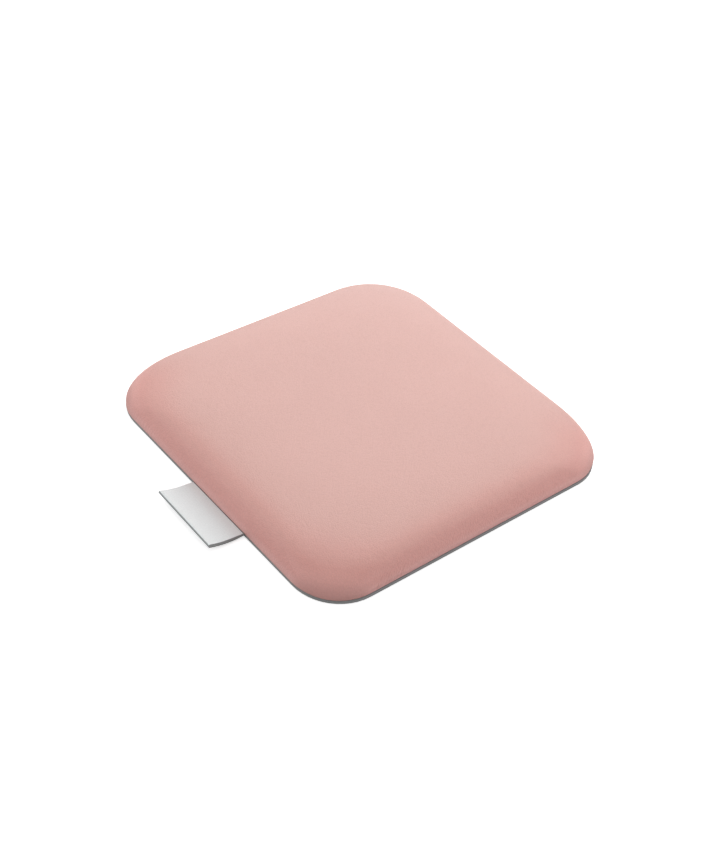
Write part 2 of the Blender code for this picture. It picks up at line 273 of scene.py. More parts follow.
# Colours of the other materials, the darker of each pair first
SHEET_GREYS = ((0.27, 0.275, 0.275), (0.30, 0.305, 0.305))
BOARD_BROWNS = ((0.22, 0.13, 0.07), (0.36, 0.23, 0.13))
FOAM_CREAMS = ((0.55, 0.50, 0.36), (0.84, 0.80, 0.66))
RIBBON_WHITES = ((0.80, 0.845, 0.85), (0.86, 0.905, 0.91))
# The ribbon's grey is painted shade at its fold, its edges, its back and in the seam
RIBBON_PAINTED_SHADE_GREYS = ((0.17, 0.175, 0.175), (0.20, 0.205, 0.205))
WIRE_GREYS = ((0.48, 0.48, 0.49), (0.62, 0.62, 0.63))

# Strength and depth of each surface's relief
LEATHER_BUMP = (0.55, 0.0002)
SPECKLE_BUMP = (0.3, 0.0001)
FOAM_BUMP = (0.6, 0.0003)
RIBBON_BUMP = (0.25, 0.00005)

# Leather grain: each layer's scale per metre and its share of the height, and how far noise
# pushes the pebbles about
PEBBLE_SCALE = 1050.0
PEBBLE_SHARE = 0.6
PEBBLE_GROOVE = 0.2
PEBBLE_STRETCH = 0.45
PEBBLE_PUSH = 0.0007
PUSH_SCALE = 900.0
CRAZING_SCALE = 2600.0
CRAZING_SHARE = 0.4
WRINKLE_SCALE = 520.0
WRINKLE_SHARE = 1.3
GROOVE_STRENGTH = 0.16
LEATHER_ROUGHNESS = (0.4, 0.52)

# The part of a noise's range that is spread over the whole of a blend
NOISE_LOW = 0.3
NOISE_HIGH = 0.7

# Patterns of the other materials, per metre
SHEET_SPECKS = 1700.0
BOARD_SPECKS = 900.0
BROAD_SPECKS = 45.0
FOAM_PORES = 1300.0
FOAM_PORE_RANGE = (0.15, 0.5)
WIRE_STREAKS = 1200.0
WIRE_STREAK_RANGE = (0.2, 0.8)
WIRE_ROUGHNESS = (0.28, 0.45)

# The ribbon's weave, mapped in millimetres: its pitch across and along the ribbon, each part's
# share of the height, and the scale of its uneven threads
MILLIMETRES_PER_METRE = 1000
WARP_PITCH = 0.26
WEFT_PITCH = 0.34
WARP_SHARE = 0.35
CROSSING_SHARE = 0.25
SLUB_SCALE = 1.4

# Light. Soft boxes: name, bearing anticlockwise from +X and height in degrees, distance, width
# and radiance
AMBIENT = 0.349
SOFT_BOXES = (
    ("low_back", 137, 22, 1.2, 0.9, 0.741),
    ("high_back", 137, 38, 1.2, 0.9, 1.541),
    ("right_back", 100, 38, 1.2, 0.9, 0.362),
    ("overhead", 137, 89, 1.2, 0.9, 0.772),
    ("right_front", 26, 20, 1.2, 0.9, 0.625),
    ("left_front", 247, 20, 1.2, 0.9, 0.88),
    ("left_side", 212, 30, 0.5, 0.4, 0.742),
    ("right_side", 62, 30, 0.5, 0.4, 1.04),
)
FLOOR_COLOUR = 0.88
FLOOR_GLOW = 0.65
FLOOR_HALF = 6.0
FLOOR_DROP = 0.0002

# Sockets of a Mix node: its factor, the values or the colours that it mixes, and the colour
# that it puts out
MIX_FACTOR = 0
MIX_FLOATS = (2, 3)
MIX_COLOURS = (6, 7)
MIX_COLOUR_OUT = 2

# Keeps a divisor from zero
TINY = 1e-12


def outline_walk(travel):
    """Which quarter of the outline each distance falls in, and how far into that quarter."""
    quarter = np.floor(travel / QUARTER)
    return quarter, travel - quarter * QUARTER


def outline_places(travel):
    """A disc of the corner's radius walks anticlockwise round the inside of a square.

    For each distance travelled along the base outline this gives where the disc stands, as
    shares of the square's half side, and the direction in which the outline lies from the disc.
    """
    quarter, into = outline_walk(travel)
    turned = np.clip(into / ARC, 0, 1)
    walked = np.clip((into - ARC) / SIDE, 0, 1)
    angle = (quarter + turned) * math.pi / 2
    corner = (quarter + 0.5) * math.pi / 2
    following = corner + math.pi / 2
    stand_x = math.sqrt(2) * ((1 - walked) * np.cos(corner) + walked * np.cos(following))
    stand_y = math.sqrt(2) * ((1 - walked) * np.sin(corner) + walked * np.sin(following))
    return stand_x, stand_y, np.cos(angle), np.sin(angle)


def ring_points(places, half, radius, height):
    """Rows of rounded squares: the square of half side less radius, plus the disc's radius."""
    stand_x, stand_y, out_x, out_y = places
    x = (half - radius) * stand_x + radius * out_x
    y = (half - radius) * stand_y + radius * out_y
    return np.stack([x, y, height + 0 * x], -1)


def profile_table():
    """The cover's outside from the seam to the middle: distance walked, inset and height.

    An upright foot, then the shoulder, a quarter superellipse with a power of its own each
    way: across to the first plus up to the second is 1. The crown adds to both it and the top.
    """
    across = np.cos(np.linspace(0, math.pi / 2, SHOULDER_POINTS))
    up = (1 - across**SHOULDER_WIDTH_POWER) ** (1 / SHOULDER_RISE_POWER)
    foot = np.linspace(FOLD_TOP, SHOULDER_BOTTOM, FOOT_POINTS)[:-1]
    top = np.linspace(SHOULDER_RUN, HALF, TOP_POINTS)[1:]
    inset = np.concatenate([0 * foot, SHOULDER_RUN * (1 - across), top])
    height = np.concatenate(
        [foot, SHOULDER_BOTTOM + SHOULDER_RISE * up, np.full(len(top), SHOULDER_HEIGHT)]
    )
    height = height + CROWN_HEIGHT * (1 - (1 - inset / HALF) ** CROWN_POWER)
    distance = np.concatenate([[0], np.cumsum(np.hypot(np.diff(inset), np.diff(height)))])
    return distance, inset, height


PROFILE = profile_table()


def pad_skin(travel, distance, depth=0.0):
    """The pad's surface at each distance up its profile and each distance round its outline.

    depth moves it inwards along the profile's normal. The corner radius is a share of the half
    side that eases from the foot's to the top's, exponentially with the inset.
    """
    table, insets, heights = PROFILE
    inset = np.interp(distance, table, insets)
    height = np.interp(distance, table, heights)
    normal_out = np.interp(distance, table, np.gradient(heights, table))
    normal_up = np.interp(distance, table, np.gradient(insets, table))
    share = CORNER_RADIUS / HALF - TOP_CORNER_SHARE
    share = TOP_CORNER_SHARE + share * np.exp(-inset / CORNER_EASING_RUN)
    radius = (HALF - inset) * share
    places = outline_places(travel)
    half = (HALF - inset - depth * normal_out)[:, None]
    radius = np.maximum(radius - depth * normal_out, 0)[:, None]
    return ring_points(places, half, radius, (height - depth * normal_up)[:, None])


def ring_faces(rows, columns):
    """The numbers of the points in rows of closed rings, those ahead of them, and the faces."""
    index = np.arange(rows * columns).reshape(rows, columns)
    ahead = np.roll(index, -1, axis=1)
    quads = np.stack([index[:-1], ahead[:-1], ahead[1:], index[1:]], -1).reshape(-1, 4)
    return index, ahead, quads


def grid_mesh(name, points, first_pole=None, last_pole=None):
    """Skins rows of points, each row a closed ring, and closes either end on a pole point."""
    rows, columns = points.shape[:2]
    index, ahead, quads = ring_faces(rows, columns)
    vertices = [points.reshape(-1, 3)]
    fans = []
    count = rows * columns
    if first_pole is not None:
        vertices.append(np.reshape(first_pole, (1, 3)))
        fans.append(np.stack([ahead[0], index[0], np.full(columns, count)], -1))
        count += 1
    if last_pole is not None:
        vertices.append(np.reshape(last_pole, (1, 3)))
        fans.append(np.stack([index[-1], ahead[-1], np.full(columns, count)], -1))
    return polygon_mesh(name, np.concatenate(vertices), quads, np.concatenate(fans))


def polygon_mesh(name, vertices, quads, triangles):
    """A smooth mesh from arrays of four-sided and three-sided faces, turned to face outwards.

    The faces point outwards where the sum of a * (b x c) over their corners is above zero.
    """
    a, b, c, d = (vertices[quads[:, i]] for i in range(4))
    e, f, g = (vertices[triangles[:, i]] for i in range(3))
    volume = np.einsum("ij,ij->", a, np.cross(b, c)) + np.einsum("ij,ij->", a, np.cross(c, d))
    volume += np.einsum("ij,ij->", e, np.cross(f, g))
    if volume < 0:
        quads = quads[:, ::-1]
        triangles = triangles[:, ::-1]
    sizes = np.concatenate([np.full(len(quads), 4), np.full(len(triangles), 3)])
    starts = np.concatenate([[0], np.cumsum(sizes)[:-1]])
    corners = np.concatenate([quads.ravel(), triangles.ravel()])
    mesh = bpy.data.meshes.new(name)
    mesh.vertices.add(len(vertices))
    mesh.vertices.foreach_set("co", vertices.astype(np.float32).ravel())
    mesh.loops.add(len(corners))
    mesh.loops.foreach_set("vertex_index", corners.astype(np.int32))
    mesh.polygons.add(len(sizes))
    mesh.polygons.foreach_set("loop_start", starts.astype(np.int32))
    mesh.update(calc_edges=True)
    mesh.validate()
    mesh.shade_smooth()
    return mesh


def place_piece(name, mesh, material, replaced):
    """Every new piece rides on the one body, takes its material and stands for its solids."""
    piece = bpy.data.objects.new(name, mesh)
    bpy.context.scene.collection.objects.link(piece)
    mesh.materials.append(material)
    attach(piece, "root")
    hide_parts(*replaced)
    return piece


def spline_weights(places, count, wraps):
    """Cubic B-spline weights that carry values on count even stations to the given places.

    places are in stations. At the ends of a row that doesn't wrap, the end value repeats.
    """
    whole = np.floor(places).astype(int)
    t = places - whole
    parts = (
        (1 - t) ** 3 / 6,
        (3 * t**3 - 6 * t**2 + 4) / 6,
        (-3 * t**3 + 3 * t**2 + 3 * t + 1) / 6,
        t**3 / 6,
    )
    weights = np.zeros((len(places), count))
    for step, part in enumerate(parts):
        station = whole - 1 + step
        station = station % count if wraps else np.clip(station, 0, count - 1)
        np.add.at(weights, (np.arange(len(places)), station), part)
    return weights


def smooth(share):
    """Eases a share in and out: three times its square less twice its cube."""
    return share * share * (3 - 2 * share)


def simulate_swell():
    """Cloth, held along the stapled foot, is blown against its own stretch from inside.

    Returns how far each point of a coarse cover moves, rows by columns, with the middle as the
    last row, and how far apart the rows are.
    """
    total = PROFILE[0][-1]
    rows = int(round(total / CLOTH_ROW_STEP))
    step = total / rows
    travel = np.arange(CLOTH_COLUMNS) * OUTLINE / CLOTH_COLUMNS
    points = pad_skin(travel, np.arange(rows) * step)
    pole = (0, 0, PROFILE[2][-1])
    mesh = grid_mesh("cover_cloth", points, last_pole=pole)
    cloth_piece = bpy.data.objects.new("cover_cloth", mesh)
    bpy.context.scene.collection.objects.link(cloth_piece)
    held = cloth_piece.vertex_groups.new(name="stapled_foot")
    held_rows = int(math.ceil(STAPLED_REACH / step)) + 1
    held.add(list(range(held_rows * CLOTH_COLUMNS)), 1.0, "REPLACE")
    cloth = cloth_piece.modifiers.new("cloth", "CLOTH")
    for name, value in CLOTH_SETTINGS.items():
        setattr(cloth.settings, name, value)
    cloth.settings.vertex_group_mass = held.name
    cloth.settings.use_pressure = True
    cloth.settings.uniform_pressure_force = CLOTH_PRESSURE
    cloth.settings.effector_weights.gravity = 0
    cloth.point_cache.frame_start = 1
    cloth.point_cache.frame_end = CLOTH_FRAMES
    scene = bpy.context.scene
    for number in range(1, CLOTH_FRAMES + 1):
        scene.frame_set(number)
        bpy.context.view_layer.update()
    swollen = cloth_piece.evaluated_get(bpy.context.evaluated_depsgraph_get()).data
    moved = np.zeros(len(mesh.vertices) * 3, np.float32)
    swollen.vertices.foreach_get("co", moved)
    rest = np.concatenate([points.reshape(-1, 3), np.reshape(pole, (1, 3))])
    shift = moved.reshape(-1, 3).astype(float) - rest
    scene.frame_set(1)
    bpy.data.objects.remove(cloth_piece, do_unlink=True)
    grid = shift[:-1].reshape(rows, CLOTH_COLUMNS, 3)
    middle = np.broadcast_to(shift[-1], (1, CLOTH_COLUMNS, 3))
    return np.concatenate([grid, middle]), step


def swell_at(travel, distance, swell):
    """The simulated movement, scaled down to its limit and carried by cubic B-splines."""
    if swell is None:
        return np.zeros((len(distance), len(travel), 3))
    shift, step = swell
    peak = np.linalg.norm(shift, axis=-1).max()
    limited = shift * min(1.0, SWELL_LIMIT / max(peak, TINY))
    along = spline_weights(distance / step, len(shift), wraps=False)
    around = spline_weights(travel / OUTLINE * CLOTH_COLUMNS, CLOTH_COLUMNS, wraps=True)
    return np.einsum("ri,ijk,cj->rck", along, limited, around)


def swollen_middle(swell):
    """The top of the crown, moved as the simulation moves it."""
    total = PROFILE[0][-1]
    return np.array([0, 0, PROFILE[2][-1]]) + swell_at(np.zeros(1), np.array([total]), swell)[0, 0]


def gather_depth(travel, distance):
    """How deep the gathers dip at each place: the sum of narrow valleys beside each corner.

    Each valley is a bell curve across its length. It leans towards its corner as it climbs, and
    it fades out up the wall.
    """
    quarter, into = outline_walk(travel)
    dice = np.random.default_rng(GATHER_SEED)
    depth = np.zeros((len(distance), len(travel)))
    for flank, strength in enumerate(GATHER_STRENGTHS):
        wall, at_end = divmod(flank, 2)
        beyond = QUARTER - into if at_end else into - ARC
        near = quarter == wall
        for number in range(GATHER_COUNT):
            scatter = dice.uniform(-GATHER_SCATTER, GATHER_SCATTER)
            place = GATHER_FIRST + GATHER_PITCH * (number + scatter)
            bulk = strength * GATHER_DEPTH * dice.uniform(*GATHER_DEPTH_SHARES)
            bend = GATHER_LEAN * dice.uniform(*GATHER_LEAN_SHARES)
            reach = GATHER_REACH * dice.uniform(*GATHER_REACH_SHARES)
            across = (beyond[None, :] + bend * distance[:, None] - place) / GATHER_WIDTH
            climb = np.clip(1 - distance[:, None] / reach, 0, 1) ** GATHER_FADE_POWER
            depth += near * bulk * np.exp(-across * across) * climb
    return depth


def surface_normals(points):
    """Unit normals of rows of rings, from the cross product of the two grid directions."""
    along = np.gradient(points, axis=0)
    around = np.roll(points, -1, axis=1) - np.roll(points, 1, axis=1)
    normal = np.cross(around, along)
    return normal / np.maximum(np.linalg.norm(normal, axis=-1, keepdims=True), TINY)


def fine_travel():
    """Columns round the cover: even in the arcs, close beside the corners, wide between."""
    stations = (
        np.linspace(0, ARC, ARC_COLUMNS + 1)[:-1],
        np.linspace(ARC, ARC + GATHER_ZONE, FLANK_COLUMNS + 1)[:-1],
        np.linspace(ARC + GATHER_ZONE, QUARTER - GATHER_ZONE, MIDDLE_COLUMNS + 1)[:-1],
        np.linspace(QUARTER - GATHER_ZONE, QUARTER, FLANK_COLUMNS + 1)[:-1],
    )
    quarter = np.concatenate(stations)
    whole = np.concatenate([quarter + number * QUARTER for number in range(4)])
    places, _ = lip_stations()
    lip = np.concatenate([places, np.array(places) + LIP_STEP])
    return np.unique(np.round(np.concatenate([whole, lip]), TRAVEL_DIGITS))


def hem_inset(travel):
    """The hem's width at each place, cut back in a V at each corner's relief angles.

    Seen from the corner's middle, the side of a V is a straight line through its tip, so its
    distance is tip * tan(o) / (sin(a) + cos(a) * tan(o)) at an angle a from the cut, where o is
    half the V's opening.
    """
    _, _, out_x, out_y = outline_places(travel)
    angle = np.degrees(np.arctan2(out_y, out_x)) % 90 - 45
    tip = CORNER_RADIUS - RELIEF_START
    slope = math.tan(math.radians(RELIEF_OPENING / 2))
    reach = np.full(len(travel), CORNER_RADIUS - HEM_WIDTH)
    for cut in RELIEF_ANGLES:
        away = np.radians(np.abs(angle - cut))
        reach = np.maximum(reach, tip * slope / (np.sin(away) + np.cos(away) * slope))
    return CORNER_RADIUS - reach


def hem_rows(travel, shares, level):
    """Rings across the turned-under hem, from the fold inwards to its cut edge."""
    start = foot_inset(travel)[None, :]
    inset = start + (hem_inset(travel)[None, :] - start) * shares[:, None]
    return inset_rings(travel, inset, level)


def inset_rings(travel, inset, level):
    """Rings moved in from the base outline by their inset, with their corners' centres kept."""
    return ring_points(outline_places(travel), HALF - inset, CORNER_RADIUS - inset, level)


def inner_fold_rows(travel, angles):
    """Rings round the inside of the fold at the foot of the wall: a quarter circle."""
    radius = FOLD_RADIUS - COVER_THICKNESS
    inset = (FOLD_RADIUS - radius * np.cos(angles))[:, None]
    level = (FOLD_TOP - radius * np.sin(angles))[:, None]
    return inset_rings(travel, inset, level)


def lip_stations():
    """Places along the label's side, and how far the cover's foot hangs over the sheet there."""
    corner = FRONT_QUARTER * QUARTER
    label = corner + ARC + SIDE / 2 + LABEL_CENTRE_X
    end = corner + QUARTER
    places = [corner + ARC * share for share in LIP_CORNER_SHARES]
    places += [label - LABEL_HALF - LIP_START, label - LABEL_HALF - LIP_STOP]
    places += [label + LABEL_HALF + LIP_STOP, label + LABEL_HALF + LIP_START]
    places += [end, end + ARC * LIP_END_SHARE]
    drops = list(LIP_CORNER_DROPS) + [LIP_DROP, 0.0, 0.0, LIP_DROP, LIP_DROP, 0.0]
    return places, drops


def lip_drop(travel):
    """How far the cover's foot hangs down over the grey sheet: 0 but for the label's side."""
    places, drops = lip_stations()
    return np.interp(travel, places, drops)


def lip_share(travel):
    """How far the foot has moved out past the sheet's side: all of it where the lip can hang."""
    places, _ = lip_stations()
    ends = places[:2] + places[-2:]
    return smooth(np.interp(travel, ends, [0, 1, 1, 0]))


def tuck_share(travel):
    """How much of the tuck there is: all of it on the right side and most of the corner behind."""
    ends = [ARC * share for share in TUCK_END_SHARES]
    ends += [RIGHT_QUARTER * QUARTER + ARC * share for share in TUCK_START_SHARES]
    return smooth(np.interp(travel, ends, [1, 0, 0, 1]))


def foot_inset(travel):
    """Inset at which the rounded foot ends below: under the wall, or past the sheet at the lip."""
    lip = (LIP_WIDTH - LIP_OUT - FOOT_WIDTH) * lip_share(travel)
    return FOOT_WIDTH + lip + TUCK * tuck_share(travel)


def foot_rows(travel, angles):
    """Rings round the cover's outer foot: a quarter ellipse, then up the lip's back."""
    share = lip_share(travel)[None, :]
    width = FOOT_WIDTH + (LIP_WIDTH - FOOT_WIDTH) * share
    inset = width * (1 - np.cos(angles))[:, None] - LIP_OUT * share
    inset = inset + TUCK * tuck_share(travel)[None, :]
    level = HEM_BOTTOM - lip_drop(travel)[None, :] + FOOT_ROUND * (1 - np.sin(angles))[:, None]
    inset = np.concatenate([inset, inset[-1:] + HAIR])
    level = np.concatenate([level, np.full((1, len(travel)), HEM_BOTTOM + HAIR)])
    return inset_rings(travel, inset, level)


def foot_push(travel, distance):
    """The wall eases outwards to the lip and inwards to the tuck, by the square of the way left."""
    _, _, out_x, out_y = outline_places(travel)
    outwards = np.stack([out_x, out_y, 0 * out_x], -1)
    lip = np.clip(1 - distance / LIP_RISE, 0, 1)[:, None] ** 2 * lip_share(travel)
    tuck = np.clip(1 - distance / TUCK_RISE, 0, 1)[:, None] ** 2 * tuck_share(travel)
    return (LIP_OUT * lip - TUCK * tuck)[..., None] * outwards[None]


def make_cover(swell):
    """One closed skin: down the outside from the middle, round the hem and back up the inside."""
    travel = fine_travel()
    total = PROFILE[0][-1]
    spacing = np.linspace(CROWN_START, 1, CROWN_ROWS) ** CROWN_SPACING_POWER
    crown = total - (total - SHOULDER_END) * spacing
    shoulder = np.linspace(SHOULDER_END, 0, SHOULDER_ROWS + 1)[1:]
    distance = np.concatenate([crown, shoulder])
    outside = pad_skin(travel, distance)
    outside = outside + swell_at(travel, distance, swell) + foot_push(travel, distance)
    normal = surface_normals(outside)
    outwards = np.sign(np.sum(normal[len(crown)] * outside[len(crown)]))
    outside = outside - outwards * normal * gather_depth(travel, distance)[..., None]
    bend = np.linspace(0, math.pi / 2, FOLD_ROWS)
    foot = foot_rows(travel, bend)
    hem = hem_rows(travel, np.linspace(0, 1, HEM_ROWS + 1)[1:], HEM_BOTTOM)
    hem_top = hem_rows(travel, np.linspace(1, 0, HEM_TOP_ROWS + 1)[:-1], HEM_TOP)
    inner_fold = inner_fold_rows(travel, bend[:0:-1])
    inner_shoulder = np.linspace(0, SHOULDER_END, INNER_SHOULDER_ROWS)
    inner_distance = np.concatenate([inner_shoulder, crown[::-INNER_CROWN_STRIDE][1:]])
    inside = pad_skin(travel, inner_distance, COVER_THICKNESS)
    inside = inside + swell_at(travel, inner_distance, swell)
    rows = np.concatenate([outside, foot, hem, hem_top, inner_fold, inside])
    top = swollen_middle(swell)
    mesh = grid_mesh("leather_cover", rows, top, top - (0, 0, COVER_THICKNESS))
    mesh.set_sharp_from_angle(angle=SHARP_EDGE)
    cover = place_piece("leather_cover", mesh, leather_material(), ["cover"])


def make_foam(swell):
    """The foam block: the cover's inside less a hair, cut flat on the board."""
    travel = np.arange(FOAM_COLUMNS) * OUTLINE / FOAM_COLUMNS
    depth = COVER_THICKNESS + FOAM_GAP
    start = PROFILE[0][-1] * FOAM_START_SHARE
    crown = np.linspace(start, SHOULDER_END, FOAM_CROWN_ROWS)
    shoulder = np.linspace(SHOULDER_END, 0, FOAM_SHOULDER_ROWS + 1)[1:]
    distance = np.concatenate([crown, shoulder])
    body = pad_skin(travel, distance, depth) + swell_at(travel, distance, swell)
    body = body[body[:, 0, 2] > FOAM_BOTTOM]
    foot = body[-1].copy()
    foot[:, 2] = FOAM_BOTTOM
    under = foot * (FOAM_UNDER_SHARE, FOAM_UNDER_SHARE, 1.0)
    rows = np.concatenate([body, foot[None], under[None]])
    top = (0, 0, swollen_middle(swell)[2] - depth)
    mesh = grid_mesh("foam_block", rows, top, (0, 0, FOAM_BOTTOM))
    mesh.set_sharp_from_angle(angle=SHARP_EDGE)
    foam = place_piece("foam_block", mesh, foam_material(), ["foam_pad"])


def ribbon_paths():
    """The folded ribbon's outside and inside in the plane across the seam, and distance along.

    A middle line lies flat in the seam and curls up by a power of the distance. Each ply lies
    half the gap off that line, and a half circle joins them at the fold.
    """
    end = LABEL_REACH - RIBBON_THICKNESS - LABEL_PLY_GAP / 2
    tail = np.linspace(-LABEL_TAIL, 0, LABEL_TAIL_ROWS)[:-1]
    reach = np.concatenate([tail, np.linspace(0, end, LABEL_ROWS)])
    share = np.clip(reach, 0, None) / end
    middle = np.stack([reach, LABEL_MIDDLE + LABEL_CURL * share**LABEL_CURL_POWER], -1)
    slope = LABEL_CURL * LABEL_CURL_POWER * share ** (LABEL_CURL_POWER - 1) / end
    lean = np.arctan(slope)
    eased = smooth(np.clip(share / RIBBON_THICKENING_SHARE, 0, 1))
    ply = RIBBON_THICKNESS_IN_SEAM + (RIBBON_THICKNESS - RIBBON_THICKNESS_IN_SEAM) * eased
    upwards = np.stack([-np.sin(lean), np.cos(lean)], -1)
    turn = lean[-1] - math.pi / 2 + np.linspace(0, math.pi, LABEL_BEND_STEPS + 1)[1:-1]
    around = np.stack([np.cos(turn), np.sin(turn)], -1)

    def path(thickness):
        offset = (LABEL_PLY_GAP / 2 + ply * thickness)[:, None]
        lower = middle - upwards * offset
        upper = (middle + upwards * offset)[::-1]
        return np.concatenate([lower, middle[-1] + around * offset[-1], upper])

    outside, inside = path(1.0), path(0.0)
    walked = np.concatenate([[0], np.cumsum(np.linalg.norm(np.diff(path(0.5), axis=0), axis=1))])
    return outside, inside, walked


def ribbon_columns():
    """Places across the ribbon: even between its selvedges, and on a quarter sine in them."""
    rounding = np.linspace(0, math.pi / 2, SELVEDGE_COLUMNS)
    edge = LABEL_HALF - SELVEDGE * (1 - np.sin(rounding))
    face = np.linspace(-edge[0], edge[0], LABEL_COLUMNS)[1:-1]
    return np.concatenate([-edge[::-1], face, edge])


def make_label():
    """The ribbon's section carried along its width.

    The selvedges thin out by a quarter circle to SELVEDGE_THICKNESS_SHARE, and the gap between
    the plies closes towards them in a straight line. Across the width the reach grows in a
    straight line by the skew, and the left edge flares out by the square of the reach.
    """
    outside, inside, walked = ribbon_paths()
    across = ribbon_columns()
    into = np.clip((np.abs(across) - (LABEL_HALF - SELVEDGE)) / SELVEDGE, 0, 1)
    round_share = (1 - SELVEDGE_THICKNESS_SHARE) * np.sqrt(1 - into * into)
    fullness = (SELVEDGE_THICKNESS_SHARE + round_share)[:, None, None]
    gap = np.clip((LABEL_HALF - np.abs(across)) / LABEL_SEALED_EDGE, SEALED_GAP_SHARE, 1)
    middle = (inside + inside[::-1]) / 2
    outer = middle + (outside - middle) * fullness
    inner = middle + (inside - middle) * gap[:, None, None]
    section = np.concatenate([outer, inner[:, ::-1]], 1)
    side = across[:, None] / LABEL_HALF
    reach, level = section[..., 0] * (1 + LABEL_SKEW * side), section[..., 1]
    flare = np.clip(-side, 0, 1) * np.clip(reach / LABEL_REACH, 0, 1) ** 2
    x = LABEL_CENTRE_X + across[:, None] - LABEL_FLARE * flare
    points = np.stack([x, -HALF - reach, level], -1)
    index, _, quads = ring_faces(*points.shape[:2])
    first = np.arange(len(walked) - 1)
    partner = 2 * len(walked) - 1 - first
    for ring, turned in ((index[0], 1), (index[-1], -1)):
        cap = np.stack([ring[first], ring[partner], ring[partner - 1], ring[first + 1]], -1)
        quads = np.concatenate([quads, cap[:, ::turned]])
    mesh = polygon_mesh("woven_label", points.reshape(-1, 3), quads, np.zeros((0, 3), int))
    mesh.set_sharp_from_angle(angle=LABEL_SHARP_EDGE)
    write_ribbon_map(mesh, across, walked)
    write_face_zone(mesh, across, walked)
    place_piece("woven_label", mesh, ribbon_material(), ["label"])


def write_ribbon_map(mesh, across, walked):
    """A map in millimetres: across the ribbon, and along it from its lower tucked-in end."""
    along = np.concatenate([walked, walked[::-1]])
    grid = np.stack(np.broadcast_arrays(across[:, None], along[None, :]), -1)
    grid = grid.reshape(-1, 2) * MILLIMETRES_PER_METRE
    corners = np.zeros(len(mesh.loops), np.int32)
    mesh.loops.foreach_get("vertex_index", corners)
    layer = mesh.uv_layers.new(name="ribbon")
    layer.data.foreach_set("uv", grid[corners].astype(np.float32).ravel())


def write_face_zone(mesh, across, walked):
    """How white each point is: the face is full white, and the fold, edges and back are less so,
    grey as painted shade.

    The seam's rows, under the cover, and a strip beside the right edge are darkest, as painted
    shade in the seam and beside that edge.
    """
    count = len(walked)
    face = np.full(count, EDGE_WHITE)
    face[count // 2 + GREY_FOLD_ROWS:] = FACE_WHITE
    face[-LABEL_TAIL_ROWS - 1] = NEAR_SEAM_PAINTED_SHADE
    face[-LABEL_TAIL_ROWS:] = SEAM_PAINTED_SHADE
    inside = np.abs(across) < LABEL_HALF - SELVEDGE * GREY_EDGE_SHARE
    # A strip of painted shade on the face beside the right edge
    beside = (across > LABEL_HALF - SELVEDGE * PAINTED_SHADE_STRIP_SHARE) & (across < across[-1])
    white = np.where(inside[:, None], face[None, :], EDGE_WHITE)
    white = np.where(beside[:, None] & (face[None, :] == FACE_WHITE), SEAM_PAINTED_SHADE, white)
    white = np.concatenate([white, np.full(white.shape, EDGE_WHITE)], 1).astype(np.float32)
    attribute = mesh.attributes.new("white_face", "FLOAT", "POINT")
    attribute.data.foreach_set("value", white.ravel())


def new_material(name):
    """A material with its node tree and its Principled shader."""
    material = bpy.data.materials.new(name)
    material.use_nodes = True
    return material, material.node_tree, material.node_tree.nodes["Principled BSDF"]


def add_node(tree, kind, inputs=(), **settings):
    """Adds a node, sets its options, and sets or links its inputs by name or number."""
    node = tree.nodes.new(kind)
    for name, value in settings.items():
        setattr(node, name, value)
    for key, value in dict(inputs).items():
        feed(tree, node.inputs[key], value)
    return node


def feed(tree, socket, value):
    """Links an output to a socket, or sets the socket to a constant."""
    if isinstance(value, bpy.types.NodeSocket):
        tree.links.new(value, socket)
    else:
        socket.default_value = value


def maths(tree, operation, first, second=0.0):
    """The result of one sum, product or the like."""
    return add_node(tree, "ShaderNodeMath", {0: first, 1: second}, operation=operation).outputs[0]


def vector_maths(tree, operation, *values):
    """The result of one sum, product or the like on vectors."""
    inputs = dict(enumerate(values))
    return add_node(tree, "ShaderNodeVectorMath", inputs, operation=operation).outputs[0]


def ramp_between(tree, value, low, high, to_low=0.0, to_high=1.0):
    """Carries low to high smoothly to to_low and to_high."""
    ends = {"From Min": low, "From Max": high, "To Min": to_low, "To Max": to_high}
    inputs = {"Value": value, **ends}
    node = add_node(tree, "ShaderNodeMapRange", inputs, interpolation_type="SMOOTHSTEP")
    return node.outputs["Result"]


def spread_noise(tree, value):
    """Spreads the middle of a noise's range over 0 to 1."""
    return ramp_between(tree, value, NOISE_LOW, NOISE_HIGH)


def blend_colours(tree, factor, *colours):
    """Mixes two colours, each an output or three constants."""
    node = add_node(tree, "ShaderNodeMix", {MIX_FACTOR: factor}, data_type="RGBA")
    for number, colour in zip(MIX_COLOURS, colours):
        plain = not isinstance(colour, bpy.types.NodeSocket)
        feed(tree, node.inputs[number], (*colour, 1) if plain else colour)
    return node.outputs[MIX_COLOUR_OUT]


def bump(tree, height, strength, distance):
    """The normal of a surface with this height on it."""
    inputs = {"Height": height, "Strength": strength, "Distance": distance}
    return add_node(tree, "ShaderNodeBump", inputs).outputs["Normal"]


def noise(tree, vector, scale, detail=2.0, roughness=0.5):
    """Fractal noise: its value and its colour are the node's outputs."""
    inputs = {"Vector": vector, "Scale": scale, "Detail": detail, "Roughness": roughness}
    return add_node(tree, "ShaderNodeTexNoise", inputs).outputs


def object_place(tree):
    """Each point's own place on the piece, in metres."""
    return add_node(tree, "ShaderNodeTexCoord").outputs["Object"]


def make_group(name, inputs, outputs):
    """An empty node group with named inputs and outputs."""
    group = bpy.data.node_groups.new(name, "ShaderNodeTree")
    for label, kind, value in inputs:
        socket = group.interface.new_socket(name=label, in_out="INPUT", socket_type=kind)
        if value is not None:
            socket.default_value = value
    for label, kind in outputs:
        group.interface.new_socket(name=label, in_out="OUTPUT", socket_type=kind)
    start = group.nodes.new("NodeGroupInput").outputs
    end = group.nodes.new("NodeGroupOutput").inputs
    return group, start, end


